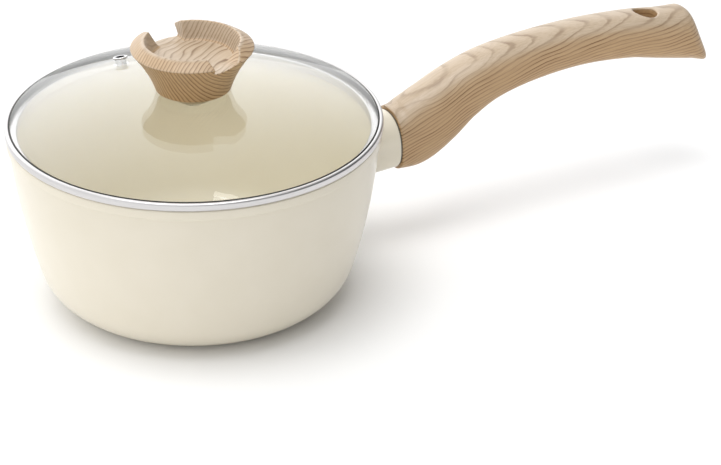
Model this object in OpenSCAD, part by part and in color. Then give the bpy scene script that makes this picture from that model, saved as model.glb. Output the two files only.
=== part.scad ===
// Saucepan with a long arched handle and a domed glass lid with a spoon-rest knob.
// The origin is the middle of the base on the resting plane. The handle points along +X and +Z is up.
// Lengths are in millimetres.

/* [Pan] */
// Height of the pan from the resting plane to its rim
pan_h = 92; // [80:1:110]
// Outer radius at the rim
pan_r = 94.5; // [90:0.5:98]
// Radius of the flat part of the base
base_r = 55.5; // [50:0.5:60]
// Outer radius of the rounded corner between base and wall
corner_r = 26; // [20:1:30]
// Lean of the wall away from vertical where it leaves the corner, in degrees
wall_lean = 16.6; // [12:0.1:20]
// Wall thickness
wall_t = 3; // [2:0.1:3.6]
// Thickness of the base
floor_t = 5; // [4:0.1:6]
// Height of the thicker collar at the rim
collar_h = 5.2; // [4:0.1:7]
// Step of the collar out of the wall below it
collar_step = 0.8; // [0.4:0.1:1.2]

/* [Handle] */
// Height of the handle's root above the resting plane
root_z = 59; // [54:0.5:62]
// Upward slope of the handle where it leaves the pan, in degrees
root_tilt = 3; // [1:0.5:5]
// Distance of the seam between flame guard and grip from the pan's axis
seam_x = 112; // [111.8:0.1:112.4]
// Width of the flame guard
guard_w = 28; // [26:0.5:29]
// Height of the flame guard
guard_h = 31; // [28:0.5:32]
// Wall thickness of the flame guard
guard_t = 1.4; // [1:0.1:2]
// Radius of the hole that the pan hangs by
hang_r = 6.5; // [5:0.1:7.5]
// Distance of the hanging hole from the pan's axis
hang_x = 268; // [262:0.5:272]

/* [Lid] */
// Outer radius of the steel rim
lid_r = 95; // [95:0.1:96]
// Height of the steel rim's outer band
band_h = 3.9; // [3.6:0.1:5]
// Thickness of the rim's sheet steel
rim_sheet = 0.6; // [0.4:0.05:0.7]
// Thickness of the glass
glass_t = 3; // [2.5:0.1:3.5]
// Rise of the dome from its edge to its crown
dome_rise = 17.8; // [14:0.5:22]
// Distance of the steam vent from the middle of the lid
vent_x = 67.4; // [60:0.1:75]
// Direction of the steam vent around the lid, in degrees from the handle
vent_turn = 98.5; // [0:0.5:360]

/* [Knob] */
// Radius of the knob's foot
foot_r = 19.2; // [17:0.1:20]
// Radius of the knob's widest edge
flare_r = 30.8; // [28:0.1:33]
// Height of the widest edge above the foot
flare_h = 21.9; // [20:0.1:24]
// Radius of the crest between chamfer and bowl
crest_r = 24.4; // [23:0.1:26]
// Height of the crest above the foot
crest_h = 25.9; // [24.5:0.1:27]
// Radius of the bowl's floor
bowl_r = 20.8; // [18:0.1:22]
// Height of the bowl's floor above the foot
bowl_h = 16; // [14:0.1:17]
// Width of the spoon channel's floor at its narrow end
channel_w = 15; // [12:0.5:16]
// Lean of the narrow end's open side away from vertical, in degrees
channel_lean = 29; // [10:1:32]
// Climb of the channel's floor towards its narrow end, in degrees
channel_climb = 1; // [0.5:0.5:4]
// Radius of the scoop that forms the channel's wide end
scoop_r = 30; // [26:0.5:34]
// Distance of the scoop's steep side from the channel's middle
scoop_side = 4.7; // [3:0.1:7]
// Climb of the scoop's floor outwards, in degrees
scoop_climb = 5; // [3:0.5:8]
// Direction of the channel's narrow end around the lid, in degrees from the handle
channel_turn = 96.5; // [0:0.5:360]

/* [Hidden] */
$fn = 96;

cream = [0.93, 0.90, 0.82];
steel = [0.75, 0.75, 0.76];
wood = [0.76, 0.61, 0.46];
dark = [0.14, 0.13, 0.12];
brass = [0.78, 0.62, 0.30];
clear = [0.80, 0.86, 0.82, 0.35];

// Cutters reach this far past what they cut.
over = 1;

// Pan: the wall is one large arc that starts where the corner's arc ends, and both share a tangent there.
wall_start_r = base_r + corner_r * cos(wall_lean);
wall_start_z = corner_r * (1 - sin(wall_lean));
wall_end_r = pan_r - collar_step;
wall_chord = norm([wall_end_r - wall_start_r, pan_h - wall_start_z]);
wall_half_turn = wall_lean - atan2(wall_end_r - wall_start_r, pan_h - wall_start_z);
wall_arc_r = wall_chord / (2 * sin(wall_half_turn));
wall_centre_r = wall_start_r - wall_arc_r * cos(wall_lean);
wall_centre_z = wall_start_z + wall_arc_r * sin(wall_lean);
inner_start_r = wall_start_r - wall_t * cos(wall_lean);
inner_start_z = wall_start_z + wall_t * sin(wall_lean);
inner_corner_r = (inner_start_z - floor_t) / (1 - sin(wall_lean));
inner_corner_x = inner_start_r - inner_corner_r * cos(wall_lean);
rim_round = 1;
collar_low = pan_h - collar_h;
collar_foot = collar_low - 1.2;
collar_edge = 0.4;
collar_root = 0.5;
plate_r = 51;
plate_t = 1;
plate_play = 0.1;
plate_pocket = plate_t + plate_play / 2;
plate_ring_first = 12;
plate_ring_last = 44;
plate_ring_gap = 8;
plate_ring_w = 2;
plate_ring_depth = 0.3;

// Lid: heights are counted from the resting plane.
seat_gap = 0.15;
band_low = pan_h + seat_gap;
band_top = band_low + band_h;
lip_w = 2;
lip_r = lid_r - lip_w;
lip_round = 1.1;
hem_round = 0.5;
gasket_gap = 0.01;
gasket_side_gap = 0.06;
glass_play = 0.3;
glass_round = 0.5;
glass_r = lid_r - rim_sheet - glass_play;
glass_low = band_low + rim_sheet + 0.05;
glass_edge_top = band_top - rim_sheet - glass_play;
glass_in_r = glass_r - 4.5;
shoulder_r = lip_r - 0.25;
skirt_r = pan_r - 5.2;
skirt_drop = 4.2;
dome_edge_r = lip_r - 0.95;
dome_edge_z = band_top + 0.42;
dome_top = glass_edge_top + dome_rise;
dome_arc_rise = dome_top - dome_edge_z;
dome_sphere_r = (dome_edge_r * dome_edge_r + dome_arc_rise * dome_arc_rise) / (2 * dome_arc_rise);
dome_centre_z = dome_top - dome_sphere_r;
glass_hole_r = 5.2;
vent_hole_r = 2.9;
eyelet_bore_r = 2.2;
eyelet_flange_r = 3.9;
eyelet_t = 0.4;
eyelet_gap = 0.1;
vent_cut = 8;

// Knob and its fixings: the foot stands on a soft seal on the glass.
knob_z = dome_top + 0.3;
foot_edge = 0.6;
flank_bow = 0.45;
flare_edge = 0.5;
crest_edge = 0.5;
bowl_top_r = crest_r - 0.6;
bowl_bow = 0.25;
bowl_dish = 0.6;
channel_cut = 20;
channel_draft = 3;
scoop_draft = 12;
scoop_shift = 1.3;
insert_r = 4.5;
insert_len = 12;
insert_play = 0.02;
seal_r = 16.5;
seal_collar_r = 5;
seal_gap = 0.02;
seal_disc_r = 10.5;
seal_disc_t = 1.5;
screw_r = 2.45;
screw_play = 0.05;
screw_head_r = 4.8;
screw_head_h = 2.6;
screw_slot_w = 1.2;
washer_r = 9;
washer_t = 1;
under_glass_z = dome_top - glass_t;
washer_z = under_glass_z - seal_disc_t - washer_t - 0.05;

// Handle: the root's own frame has its X axis along the flame guard.
bracket_w = 9.6;
bracket_h = 13.6;
bracket_start = -24.5;
bracket_end = 14;
bracket_foot_w = 17;
bracket_foot_h = 19;
bracket_foot_start = -26;
bracket_foot_t = 6.5;
guard_start = -30;
guard_end = -0.6;
guard_gap = 0.1;
gasket_step = 0.4;
gasket_room = 3;
grip_start = 0.2;
socket_end = 15;
socket_play = 0.3;
screw_start = -6;
screw_seat = 22;
screw_bore_r = 2.9;
screw_access_r = 5.4;
screw_access_len = 40;
cap_screw_r = 4.4;
cap_screw_head = 3;
washer_gap = 0.05;
ring_washer_r = 4.5;
ring_washer_t = 1.2;
ring_washer_split = 0.8;
grip_power = 2.3;
grip_steps = 4;
grip_sides = 32;
grip_rake = 0.6;
grip_rake_from = 264;
grip_cap = 12;
grip_cap_rings = 7;
grip_cap_turn = 86;
grip_cap_tall = 0.2;
grip_cap_wide = 0.7;
// Stations along the grip: distance from the pan's axis, height, thickness and width
grip_stations = [
    [113.2, 59.1, 34.2, 29.5],
    [124, 60.8, 38.2, 29.0],
    [137, 67.5, 37.0, 28.5],
    [152, 76.5, 32.3, 28.0],
    [170, 83.6, 28.5, 27.0],
    [195, 87.9, 25.6, 26.5],
    [225, 89.5, 24.0, 27.0],
    [255, 87.5, 24.5, 29.0],
    [275, 83.9, 27.0, 29.0],
    [289, 81.3, 31.5, 28.0]
];

end_station = grip_stations[len(grip_stations) - 1];

function arc(cx, cy, r, from, to, steps) =
    [for (i = [0:steps]) let (a = from + (to - from) * i / steps) [cx + r * cos(a), cy + r * sin(a)]];
function spline(p0, p1, p2, p3, u) =
    0.5 * (2 * p1 + (p2 - p0) * u + (2 * p0 - 5 * p1 + 4 * p2 - p3) * u * u
    + (3 * p1 - p0 - 3 * p2 + p3) * u * u * u);
function spline_slope(p0, p1, p2, p3, u) =
    0.5 * ((p2 - p0) + 2 * (2 * p0 - 5 * p1 + 4 * p2 - p3) * u + 3 * (3 * p1 - p0 - 3 * p2 + p3) * u * u);
// The station before the first one is placed so that the grip leaves the seam along the root's slope.
before_station = let (a = grip_stations[0], b = grip_stations[1], x = 2 * a[0] - b[0])
    [x, b[1] - (b[0] - x) * tan(root_tilt), a[2], a[3]];
function pick(list, i) = i < 0 ? before_station : list[min(len(list) - 1, i)];
function grip_at(t) = let (i = min(floor(t), len(grip_stations) - 2))
    spline(pick(grip_stations, i - 1), grip_stations[i], grip_stations[i + 1],
           pick(grip_stations, i + 2), t - i);
function grip_slope(t) = let (i = min(floor(t), len(grip_stations) - 2))
    spline_slope(pick(grip_stations, i - 1), grip_stations[i], grip_stations[i + 1],
                 pick(grip_stations, i + 2), t - i);
function bulge(v) = sign(v) * pow(abs(v), 2 / grip_power);
// One closed ring of the grip's skin round a station, square to a direction and raked back
function grip_ring(s, dir, rake) = [for (k = [0:grip_sides - 1]) let (
    a = 360 * k / grip_sides,
    v = s[2] / 2 * bulge(sin(a)),
    w = s[3] / 2 * bulge(cos(a)))
    [s[0] - v * (dir[1] + rake), w, s[1] + v * dir[0]]];
function along(slope) = [slope[0], slope[1]] / norm([slope[0], slope[1]]);
function grip_body_ring(t) = let (
    s = grip_at(t),
    u = max(0, (s[0] - grip_rake_from) / (end_station[0] - grip_rake_from)))
    grip_ring(s, along(grip_slope(t)), grip_rake * u * u);
// The far end is rounded in plan: its rings narrow as they go out to the tip.
function grip_cap_ring(a) = let (out = grip_cap * sin(a)) grip_ring(
    [end_station[0] + out * end_dir[0], end_station[1] + out * end_dir[1],
     (end_station[2] + out * end_flare) * pow(cos(a), grip_cap_tall),
     end_station[3] * pow(cos(a), grip_cap_wide)],
    end_dir, grip_rake);
// The near end has a small rounded edge.
function grip_lead_ring(back, inset) = let (s = grip_stations[0], d = along(grip_slope(0)))
    grip_ring([s[0] - back * d[0], s[1] - back * d[1], s[2] - 2 * inset, s[3] - 2 * inset], d, 0);

end_slope = grip_slope(len(grip_stations) - 1);
end_dir = along(end_slope);
end_flare = end_slope[2] / norm([end_slope[0], end_slope[1]]);

module root_frame() {
    translate([seam_x, 0, root_z]) rotate([0, -root_tilt, 0]) children();
}

// A cylinder along the root's axis, from one distance past the seam to another
module root_rod(r, from, to) {
    translate([from, 0, 0]) rotate([0, 90, 0]) cylinder(r = r, h = to - from);
}

module pan_outline(grow) {
    polygon(concat(
        [[0, 0], [base_r, 0]],
        arc(base_r, corner_r, corner_r + grow, -90, -wall_lean, 12),
        arc(wall_centre_r, wall_centre_z, wall_arc_r + grow, -wall_lean, 2 * wall_half_turn - wall_lean, 12),
        [[0, pan_h]]));
}

module oval(w, h) {
    polygon([for (a = [0:7.5:352.5]) [h / 2 * bulge(cos(a)), w / 2 * bulge(sin(a))]]);
}

module pan_body() {
    color(cream) difference() {
        union() {
            rotate_extrude() pan_outline(0);
            rotate_extrude() polygon(concat(
                [[pan_r - wall_t, collar_foot],
                 [pan_r - collar_step - collar_root, collar_foot],
                 [pan_r - collar_edge / 2, collar_low],
                 [pan_r, collar_low + collar_edge]],
                arc(pan_r - rim_round, pan_h - rim_round, rim_round, 0, 90, 3),
                [[pan_r - wall_t, pan_h]]));
        }
        rotate_extrude() polygon(concat(
            [[0, floor_t]],
            arc(inner_corner_x, floor_t + inner_corner_r, inner_corner_r, -90, -wall_lean, 10),
            arc(wall_centre_r, wall_centre_z, wall_arc_r - wall_t, -wall_lean,
                2 * wall_half_turn - wall_lean, 10),
            [[wall_end_r - wall_t, pan_h + over], [0, pan_h + over]]));
        translate([0, 0, -over]) cylinder(r = plate_r + plate_play, h = plate_pocket + over);
    }
}

// Magnetic steel disc pressed into the base, with shallow rings turned in its face
module induction_plate() {
    color(steel) difference() {
        cylinder(r = plate_r, h = plate_t);
        for (r = [plate_ring_first:plate_ring_gap:plate_ring_last])
            rotate_extrude() translate([r, 0]) square([plate_ring_w, plate_ring_depth]);
    }
}

// Welded foot that follows the pan's wall, with a square arm that is drilled for the handle's screw
module handle_bracket() {
    color(steel) difference() {
        union() {
            root_frame() translate([bracket_start, -bracket_w / 2, -bracket_h / 2])
                cube([bracket_end - bracket_start, bracket_w, bracket_h]);
            root_frame() translate([bracket_foot_start, -bracket_foot_w / 2, -bracket_foot_h / 2])
                cube([bracket_foot_t, bracket_foot_w, bracket_foot_h]);
        }
        rotate_extrude() pan_outline(guard_gap / 2);
        root_frame() root_rod(screw_r + screw_play, screw_start - 2, bracket_end + over);
    }
}

module flame_guard() {
    color(cream) difference() {
        root_frame() translate([guard_start, 0, 0]) rotate([0, 90, 0])
            linear_extrude(height = guard_end - guard_start) difference() {
                oval(guard_w, guard_h);
                oval(guard_w - 2 * guard_t, guard_h - 2 * guard_t);
            }
        rotate_extrude() pan_outline(guard_gap);
    }
}

// Dark ring that seals the seam, a little smaller than the guard
module guard_gasket() {
    color(dark) root_frame() translate([guard_end, 0, 0]) rotate([0, 90, 0])
        linear_extrude(height = grip_start - guard_end) difference() {
            oval(guard_w - 2 * gasket_step, guard_h - 2 * gasket_step);
            oval(bracket_w + 2 * gasket_room, bracket_h + 2 * gasket_room);
        }
}

module handle_grip() {
    last = len(grip_stations) - 1;
    rings = concat([grip_lead_ring(1.2, 1.0), grip_lead_ring(0.9, 0.35)],
                   [for (t = [0:1 / grip_steps:last]) grip_body_ring(t)],
                   [for (i = [1:grip_cap_rings]) grip_cap_ring(grip_cap_turn * i / grip_cap_rings)]);
    count = len(rings);
    points = [for (ring = rings) for (p = ring) p];
    sides = [for (i = [0:count - 2]) for (k = [0:grip_sides - 1]) let (j = (k + 1) % grip_sides)
        each [[i * grip_sides + k, i * grip_sides + j, (i + 1) * grip_sides + k],
              [i * grip_sides + j, (i + 1) * grip_sides + j, (i + 1) * grip_sides + k]]];
    near_end = [for (k = [grip_sides - 1:-1:0]) k];
    far_end = [for (k = [0:grip_sides - 1]) (count - 1) * grip_sides + k];
    color(wood) difference() {
        polyhedron(points = points, faces = concat(sides, [near_end], [far_end]), convexity = 6);
        root_frame() translate([-over, -bracket_w / 2 - socket_play, -bracket_h / 2 - socket_play])
            cube([over + socket_end, bracket_w + 2 * socket_play, bracket_h + 2 * socket_play]);
        root_frame() root_rod(screw_bore_r, 0, screw_seat + over);
        root_frame() root_rod(screw_access_r, screw_seat, screw_seat + screw_access_len);
        translate([hang_x, 0, 0]) cylinder(r = hang_r, h = 2 * pan_h);
        root_frame() translate([grip_start - pan_h, -pan_h / 2, -pan_h / 2]) cube(pan_h);
    }
}

module handle_screw() {
    head_start = screw_seat + ring_washer_t + 2 * washer_gap;
    cap_slot = 5.2;
    color(steel) root_frame() difference() {
        union() {
            root_rod(screw_r, screw_start, head_start + washer_gap);
            root_rod(cap_screw_r, head_start, head_start + cap_screw_head);
        }
        for (turn = [0, 90]) rotate([turn, 0, 0])
            translate([head_start + cap_screw_head / 2, -screw_slot_w / 2, -cap_slot / 2])
                cube([cap_screw_head, screw_slot_w, cap_slot]);
    }
}

// Split ring under the screw's head
module spring_washer() {
    color(steel) root_frame() difference() {
        root_rod(ring_washer_r, screw_seat + washer_gap, screw_seat + washer_gap + ring_washer_t);
        root_rod(screw_r + 3 * screw_play, screw_seat - over, screw_seat + ring_washer_t + over);
        translate([screw_seat - over, 0, -ring_washer_split / 2])
            cube([ring_washer_t + 2 * over, ring_washer_r + over, ring_washer_split]);
    }
}

module vent_frame() {
    rotate([0, 0, vent_turn]) translate([0, 0, dome_centre_z])
        rotate([0, asin(vent_x / dome_sphere_r), 0]) translate([0, 0, dome_sphere_r]) children();
}

module lid_glass() {
    edge_turn = acos(dome_edge_r / dome_sphere_r);
    inner_turn = acos(glass_in_r / (dome_sphere_r - glass_t));
    color(clear) difference() {
        rotate_extrude() polygon(concat(
            [[glass_in_r, glass_low], [glass_r - glass_round, glass_low], [glass_r, glass_low + glass_round],
             [glass_r, glass_edge_top - glass_round], [glass_r - glass_round, glass_edge_top],
             [shoulder_r, glass_edge_top]],
            arc(0, dome_centre_z, dome_sphere_r, edge_turn, 90, 20),
            arc(0, dome_centre_z, dome_sphere_r - glass_t, 90, inner_turn, 20)));
        translate([0, 0, under_glass_z - over]) cylinder(r = glass_hole_r, h = glass_t + 2 * over);
        vent_frame() translate([0, 0, -vent_cut]) cylinder(r = vent_hole_r, h = 2 * vent_cut);
    }
}

// Sheet steel bent round the edge of the glass, with a skirt that keeps the lid centred in the pan
module lid_rim() {
    hem = band_low + rim_sheet;
    skirt_in_r = skirt_r - rim_sheet;
    color(steel) rotate_extrude() difference() {
        union() {
            translate([lip_r, band_top - rim_sheet]) square([lid_r - lip_round - lip_r, rim_sheet]);
            translate([lid_r - lip_round, band_top - lip_round]) circle(r = lip_round);
            translate([lid_r - rim_sheet, band_low + hem_round])
                square([rim_sheet, band_h - lip_round - hem_round]);
            translate([lid_r - hem_round, band_low + hem_round]) circle(r = hem_round);
            translate([skirt_in_r, band_low]) square([lid_r - hem_round - skirt_in_r, rim_sheet]);
            translate([skirt_in_r, band_low - skirt_drop]) square([rim_sheet, skirt_drop + rim_sheet]);
        }
        translate([lip_r - over, hem]) square([lid_r - rim_sheet - lip_r + over, band_h - 2 * rim_sheet]);
    }
}

// Dark seal under the steel lip, with a bead that slopes up from the lip to the edge of the dome
module rim_gasket() {
    outer = lid_r - lip_round;
    low = glass_edge_top + gasket_gap;
    high = band_top - rim_sheet - gasket_gap;
    color(dark) rotate_extrude() polygon([
        [shoulder_r + gasket_side_gap, low],
        [outer, low],
        [outer, high],
        [lip_r - gasket_side_gap, high],
        [lip_r - gasket_side_gap, band_top - gasket_gap],
        [dome_edge_r + gasket_side_gap, dome_edge_z + gasket_gap]]);
}

module vent_eyelet() {
    eyelet_low = -glass_t - eyelet_gap - eyelet_t;
    neck_r = vent_hole_r - eyelet_gap / 2;
    color(steel) vent_frame() difference() {
        union() {
            translate([0, 0, eyelet_low]) cylinder(r = neck_r, h = eyelet_t - eyelet_low);
            translate([0, 0, eyelet_gap]) cylinder(r = eyelet_flange_r, h = eyelet_t);
            translate([0, 0, eyelet_low]) cylinder(r = eyelet_flange_r, h = eyelet_t);
        }
        translate([0, 0, -vent_cut]) cylinder(r = eyelet_bore_r, h = 2 * vent_cut);
    }
}

// Holds a cutter's section upright across the knob, so that it runs outwards and climbs
module outwards(turn, climb) {
    rotate([0, 0, turn]) translate([0, 0, bowl_h]) rotate([0, -climb, 0]) rotate([90, 0, 90]) children();
}

// Cutter for the channel's narrow end, steep on one side and open on the other
module narrow_end() {
    half = channel_w / 2;
    outwards(channel_turn, channel_climb) linear_extrude(height = flare_r + 2 * over)
        polygon([
            [-half, 0],
            [half, 0],
            [half + channel_cut * tan(channel_lean), channel_cut],
            [-half - channel_cut * tan(channel_draft), channel_cut]]);
}

// Cutter for the channel's wide end: a scoop that is cut off by a steep side
module wide_end() {
    outwards(channel_turn + 180, scoop_climb) intersection() {
        translate([-scoop_side - scoop_shift, scoop_r, 0]) cylinder(r = scoop_r, h = flare_r + 2 * over);
        linear_extrude(height = flare_r + 2 * over)
            polygon([
                [-scoop_side, -over],
                [scoop_r, -over],
                [scoop_r, channel_cut],
                [-scoop_side - channel_cut * tan(scoop_draft), channel_cut]]);
    }
}

// Flared foot, chamfered rim and a bowl that a channel crosses, so that a spoon can lie in it
module knob() {
    flank = [for (i = [1:12]) let (u = i / 12)
        [foot_r + (flare_r - foot_r) * ((1 - flank_bow) * u + flank_bow * u * u),
         foot_edge + (flare_h - foot_edge - flare_edge) * u]];
    bowl = [for (i = [8:-1:0]) let (u = i / 8)
        [bowl_r + (bowl_top_r - bowl_r) * u, bowl_h + (crest_h - bowl_h) * u * (1 - bowl_bow * (1 - u))]];
    color(wood) translate([0, 0, knob_z]) difference() {
        rotate_extrude() polygon(concat(
            [[0, 0], [foot_r - foot_edge, 0], [foot_r, foot_edge]],
            flank,
            [[flare_r, flare_h], [crest_r + crest_edge, crest_h - crest_edge / 5],
             [crest_r - crest_edge, crest_h]],
            bowl,
            [[0, bowl_h - bowl_dish]]));
        narrow_end();
        wide_end();
        translate([0, 0, -over]) cylinder(r = insert_r + insert_play, h = insert_len + 0.3 + over);
    }
}

module knob_insert() {
    color(brass) translate([0, 0, knob_z]) difference() {
        cylinder(r = insert_r, h = insert_len);
        translate([0, 0, -over]) cylinder(r = screw_r + screw_play, h = insert_len + 2 * over);
    }
}

// Soft ring between the knob's foot and the glass, with a collar that lines the hole
module seal_upper() {
    top_r = dome_sphere_r + seal_gap;
    bore = screw_r + 10 * screw_play;
    color(dark) rotate_extrude() polygon(concat(
        [[bore, under_glass_z + 0.1], [seal_collar_r, under_glass_z + 0.1]],
        arc(0, dome_centre_z, top_r, acos(seal_collar_r / top_r), acos(seal_r / top_r), 6),
        [[seal_r, knob_z - seal_gap], [bore, knob_z - seal_gap]]));
}

// Soft disc under the glass
module seal_lower() {
    under_r = dome_sphere_r - glass_t - seal_gap;
    bore = screw_r + 10 * screw_play;
    color(dark) rotate_extrude() polygon(concat(
        [[bore, under_glass_z - seal_disc_t], [seal_disc_r, under_glass_z - seal_disc_t]],
        arc(0, dome_centre_z, under_r, acos(seal_disc_r / under_r), acos(bore / under_r), 5)));
}

module knob_washer() {
    color(steel) translate([0, 0, washer_z]) difference() {
        cylinder(r = washer_r, h = washer_t);
        translate([0, 0, -over]) cylinder(r = screw_r + 6 * screw_play, h = washer_t + 2 * over);
    }
}

// Screw from below, with a cross slot in its head and a shank that ends inside the insert
module knob_screw() {
    slot_len = 5.6;
    shank = knob_z + insert_len - 3 - washer_z;
    color(steel) translate([0, 0, washer_z - washer_gap]) difference() {
        union() {
            translate([0, 0, -screw_head_h]) cylinder(r = screw_head_r, h = screw_head_h);
            translate([0, 0, -over]) cylinder(r = screw_r, h = shank + over);
        }
        for (turn = [0, 90]) rotate([0, 0, turn])
            translate([-slot_len / 2, -screw_slot_w / 2, -screw_head_h - over])
                cube([slot_len, screw_slot_w, screw_head_h / 2 + over]);
    }
}

pan_body();
induction_plate();
handle_bracket();
flame_guard();
guard_gasket();
handle_grip();
handle_screw();
spring_washer();
lid_glass();
lid_rim();
rim_gasket();
vent_eyelet();
knob();
knob_insert();
seal_upper();
seal_lower();
knob_washer();
knob_screw();
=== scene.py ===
"""Saucepan with a long arched handle and a domed glass lid with a spoon-rest knob.

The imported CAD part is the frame. Sizes below are millimetres and become metres when a mesh is made.
The handle points along +X, +Z is up and the origin is the middle of the base.
"""

import math

import bmesh
import bpy
import numpy as np
from mathutils import Matrix, Vector


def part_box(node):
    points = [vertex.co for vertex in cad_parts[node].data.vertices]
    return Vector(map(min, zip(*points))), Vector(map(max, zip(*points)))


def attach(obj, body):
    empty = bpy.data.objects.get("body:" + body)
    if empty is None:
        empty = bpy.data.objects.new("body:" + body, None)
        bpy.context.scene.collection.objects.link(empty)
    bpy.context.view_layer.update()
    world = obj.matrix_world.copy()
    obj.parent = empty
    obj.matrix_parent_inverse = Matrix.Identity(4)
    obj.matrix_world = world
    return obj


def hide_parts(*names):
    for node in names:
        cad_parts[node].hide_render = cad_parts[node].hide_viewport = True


MM = 0.001
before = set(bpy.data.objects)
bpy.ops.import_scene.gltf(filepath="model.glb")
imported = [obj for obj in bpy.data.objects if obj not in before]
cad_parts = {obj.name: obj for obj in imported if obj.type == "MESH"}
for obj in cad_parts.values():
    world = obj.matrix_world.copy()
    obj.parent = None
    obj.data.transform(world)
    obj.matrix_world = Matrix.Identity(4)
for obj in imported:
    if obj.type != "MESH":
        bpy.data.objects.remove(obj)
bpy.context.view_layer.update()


# ---------------------------------------------------------------- sizes


def node_box(node):
    """Lowest and highest corner of a CAD node in millimetres."""
    low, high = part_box(node)
    return [c / MM for c in low], [c / MM for c in high]


# Pan
_, PAN_R, PAN_H = node_box("pan_body")[1]
BASE_R = 55.5
CORNER_R = 26.0
WALL_LEAN = math.radians(16.6)
WALL_T = 3.0
FLOOR_T = 5.0
COLLAR_H = 5.2
COLLAR_STEP = 0.8
COLLAR_BLEND = 1.2
COLLAR_INSIDE = 8.0
PLATE_R = node_box("induction_plate")[1][1]
POCKET_GAP = 0.1
POCKET_DEPTH = 1.05
# The inner coat ends this far below the top of the rim
INNER_COAT_END = 1.2

# Lid: steel rim, glass and vent
RIM_LOW, RIM_HIGH = node_box("lid_rim")
LID_R = RIM_HIGH[1]
BAND_TOP = RIM_HIGH[2]
BAND_LOW = PAN_H + 0.15
RIM_SHEET = 0.6
LIP_R = LID_R - 2.0
SKIRT_R = PAN_R - 5.2
SKIRT_LOW = RIM_LOW[2]
GLASS_LOW, GLASS_HIGH = node_box("lid_glass")
GLASS_R = GLASS_HIGH[1]
GLASS_T = 3.0
GLASS_EDGE_W = 4.5
GLASS_EDGE_TOP = BAND_TOP - RIM_SHEET - 0.3
GLASS_EDGE_LOW = GLASS_LOW[2]
SHOULDER_R = LIP_R - 0.25
DOME_EDGE_R = LIP_R - 0.95
DOME_EDGE_Z = BAND_TOP + 0.42
DOME_TOP = GLASS_EDGE_TOP + 17.8
DOME_RISE = DOME_TOP - DOME_EDGE_Z
DOME_SPHERE_R = (DOME_EDGE_R**2 + DOME_RISE**2) / (2 * DOME_RISE)
DOME_CENTRE_Z = DOME_TOP - DOME_SPHERE_R
GLASS_HOLE_R = 5.2
VENT_X = 67.4
VENT_TURN = math.radians(98.5)
VENT_HOLE_R = 2.9
EYELET_BORE_R = 2.2
EYELET_FLANGE_R = 3.9
EYELET_T = 0.4

# Knob: flared foot, crest, bowl, narrow end of the channel (CHANNEL) and its wide end (SCOOP)
KNOB_LOW, KNOB_HIGH = node_box("knob")
KNOB_Z = KNOB_LOW[2]
FOOT_R = 19.2
FLARE_R = 30.8
FLARE_H = 21.9
CREST_R = 24.4
CREST_H = 25.9
BOWL_R = 20.8
BOWL_H = 16.0
CHANNEL_W = 15.0
CHANNEL_LEAN = math.radians(29)
CHANNEL_DRAFT = math.radians(3)
CHANNEL_CLIMB = math.radians(1)
CHANNEL_TURN = math.radians(96.5)
CHANNEL_FILLET = 1.6
SCOOP_R = 30.0
SCOOP_SIDE = 4.7
SCOOP_SHIFT = 1.3
SCOOP_DRAFT = math.radians(12)
SCOOP_CLIMB = math.radians(5)
SCOOP_FILLET = 1.2
FLANK_BOW = 0.45
BOWL_SAG = 0.6
BOWL_FILLET = 1.8
CREST_ROUND = 1.6
EDGE_ROUND = 0.8
CHAMFER_ROUND = 0.6
# Shares of a level distance that are square to the slanting flank and to the bowl's wall
FLANK_SQUARE = 0.83
BOWL_SQUARE = 0.93
INSERT_R = 4.5
INSERT_LEN = 12.0

# Handle: root, flame guard, seam, hanging hole, socket for the bracket, way of the screw and far end
ROOT_Z = 59.0
ROOT_TILT = math.radians(3)
SEAM_X = 112.0
GUARD_W = 28.0
GUARD_H = 31.0
GUARD_T = 1.4
OVAL_POWER = 2.3
SEAM_GAP = 0.2
SEAM_ROUND = 0.8
HANG_R = 6.5
HANG_X = 268.0
HANG_ROUND = 1.6
BRACKET_W = 9.6
BRACKET_H = 13.6
SOCKET_DEPTH = 15.0
SOCKET_PLAY = 0.3
SCREW_SEAT = 22.0
SCREW_BORE_R = 2.9
SCREW_ACCESS_R = 5.4
ACCESS_ROUND = 0.5
GRIP_RAKE = 0.6
GRIP_RAKE_FROM = 264.0
GRIP_CAP = 11.6
GRIP_END_POWER = 2.86
GRIP_END_ROUND = 4.5
# Stations along the grip: distance from the pan's axis, height, thickness and width
GRIP_STATIONS = [
    (113.2, 59.1, 34.2, 29.5),
    (124, 60.8, 38.2, 29.0),
    (137, 67.5, 37.0, 28.5),
    (152, 76.5, 32.3, 28.0),
    (170, 83.6, 28.5, 27.0),
    (195, 87.9, 25.6, 26.5),
    (225, 89.5, 24.0, 27.0),
    (255, 87.5, 24.5, 29.0),
    (275, 83.9, 27.0, 29.0),
    (289, 81.3, 31.5, 28.0),
]

# Faces round a turned piece, size of the faces on the wooden ones, and the angle in degrees of a sharp edge
SEGMENTS = 256
GRIP_MESH_STEP = 0.7
KNOB_MESH_STEP = 0.42
SHARP_ANGLE = 40
WOOD_SHARP_ANGLE = 50

# How far the handle is turned away from the camera, from pointing straight to the right of the view
HANDLE_AZIMUTH = math.radians(25)


def in_view(right, away, up):
    """A place given as seen from the camera: metres to the right, away and up from the pan's axis."""
    return tuple(Matrix.Rotation(-HANDLE_AZIMUTH, 3, "Z") @ Vector((right, away, up)))


# ---------------------------------------------------------------- outlines


def arc(cx, cy, r, start, end, steps):
    """Points of an arc, with its angles in radians."""
    turn = (end - start) / steps
    angles = [start + turn * i for i in range(steps + 1)]
    return [(cx + r * math.cos(a), cy + r * math.sin(a)) for a in angles]


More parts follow.
